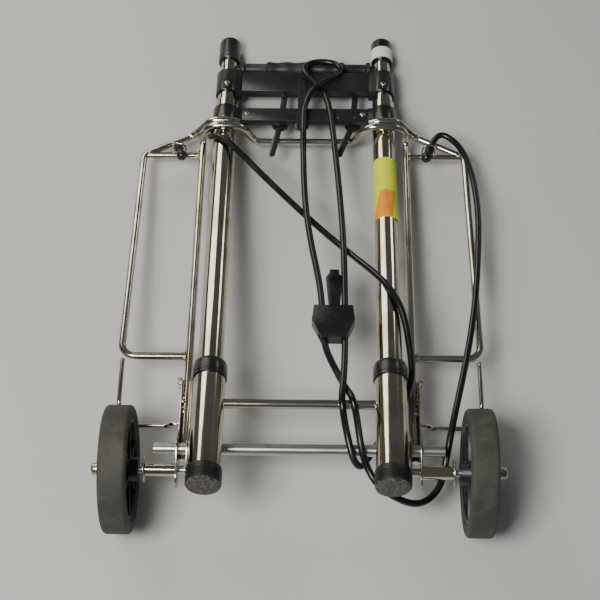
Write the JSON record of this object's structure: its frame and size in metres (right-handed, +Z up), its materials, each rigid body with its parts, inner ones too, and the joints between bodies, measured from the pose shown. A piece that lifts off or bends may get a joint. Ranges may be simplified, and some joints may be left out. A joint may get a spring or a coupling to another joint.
{
  "type": "folding luggage cart",
  "caption": "Folding luggage cart with telescoping chrome columns, a wire platform that folds flat, side wheels and an elastic cord with a slider.",
  "frame": {"origin": "on the ground under the centre of the bounding box, with the cart folded and lying on its wheels and the ends of its handle", "axes": "+X to the right seen from the feet, +Y from the wheels towards the handle, +Z up"},
  "size_m": [0.411, 0.6284, 0.1298],
  "materials": {
    "rubber_foot": "matt, scuffed grey at its end",
    "chrome_tube": "bright chrome with light wear",
    "chrome_rod": "bright chrome",
    "chrome_plate": "bright chrome, spotted by welding",
    "zinc_steel": "satin zinc plating",
    "black_steel": "black semi-gloss paint, worn at the edges",
    "black_plastic": "fine moulded texture",
    "rubber_cap": "smooth black rubber",
    "rubber_grip": "ribbed black rubber",
    "elastic": "smooth black elastic cord",
    "tyre": "matt dark grey rubber, dusty",
    "hub_plastic": "black moulded plastic"
  },
  "bodies": {
    "columns": {"foot_left": "rubber_foot", "foot_right": "rubber_foot", "sleeve_left": "chrome_tube", "sleeve_right": "chrome_tube", "sleeve_collar_left": "black_plastic", "sleeve_collar_right": "black_plastic", "main_tube_left": "chrome_tube", "main_tube_right": "chrome_tube", "main_collar_left": "black_plastic", "main_collar_right": "black_plastic", "main_beam": "black_steel", "crossbar": "chrome_rod", "pivot_lug_left": "zinc_steel", "pivot_lug_right": "zinc_steel", "cross_tube": "zinc_steel", "cross_tube_washers": "zinc_steel", "beam_rivets": "zinc_steel", "elastic_cord": "elastic", "cord_slider": "black_plastic"},
    "middle_stage": {"middle_tube_left": "chrome_tube", "middle_tube_right": "chrome_tube", "middle_collar_left": "black_plastic", "middle_collar_right": "black_plastic", "middle_beam": "black_steel", "middle_guides": "black_plastic", "catch_fingers": "black_steel", "catch_strap": "black_steel", "button_spring_left": "zinc_steel", "button_spring_right": "zinc_steel"},
    "handle_stage": {"inner_tube_left": "chrome_tube", "inner_tube_right": "chrome_tube", "inner_guides": "black_plastic", "end_cap_left": "rubber_cap", "end_cap_right": "rubber_cap", "grip_bar": "black_steel", "grip": "rubber_grip"},
    "platform": {"front_wire": "chrome_rod", "wing_wire_left": "chrome_rod", "wing_wire_right": "chrome_rod", "wing_rod_left": "chrome_rod", "wing_rod_right": "chrome_rod", "guard_wire_left": "chrome_rod", "guard_wire_right": "chrome_rod", "bracket_left": "chrome_plate", "bracket_right": "chrome_plate", "stub_axle_left": "zinc_steel", "stub_axle_right": "zinc_steel", "spacer_left": "chrome_tube", "spacer_right": "chrome_tube", "axle_washers": "zinc_steel", "cord_anchor_left": "rubber_cap", "cord_anchor_right": "rubber_cap", "axle_cap_left": "chrome_plate", "axle_cap_right": "chrome_plate"},
    "wheel_left": {"tyre_left": "tyre", "hub_left": "hub_plastic"},
    "wheel_right": {"tyre_right": "tyre", "hub_right": "hub_plastic"},
    "release_left": {"button_left": "chrome_rod"},
    "release_right": {"button_right": "chrome_rod"}
  },
  "joints": [
    {"name": "platform_fold", "type": "hinge", "parent": "columns", "child": "platform", "pos_m": [0, -0.23225, 0.07333], "axis": [1, 0, 0], "range_deg": [0, 86], "deforming": ["elastic_cord"]},
    {"name": "wheel_left_spin", "type": "hinge", "parent": "platform", "child": "wheel_left", "pos_m": [-0.1775, -0.25074, 0.0635], "axis": [1, 0, 0], "continuous": true},
    {"name": "wheel_right_spin", "type": "hinge", "parent": "platform", "child": "wheel_right", "pos_m": [0.1775, -0.25074, 0.0635], "axis": [1, 0, 0], "continuous": true},
    {"name": "middle_slide", "type": "slide", "parent": "columns", "child": "middle_stage", "axis": [0, 0.986, -0.167], "range_m": [0, 0.2]},
    {"name": "handle_slide", "type": "slide", "parent": "middle_stage", "child": "handle_stage", "axis": [0, 0.986, -0.167], "range_m": [0, 0.2]},
    {"name": "release_left_press", "type": "slide", "parent": "middle_stage", "child": "release_left", "axis": [0, -0.167, -0.986], "range_m": [0, 0.0016], "stiffness_N_per_m": 400, "springref_m": -0.002, "deforming": ["button_spring_left"]},
    {"name": "release_right_press", "type": "slide", "parent": "middle_stage", "child": "release_right", "axis": [0, -0.167, -0.986], "range_m": [0, 0.0016], "stiffness_N_per_m": 400, "springref_m": -0.002, "deforming": ["button_spring_right"]}
  ]
}
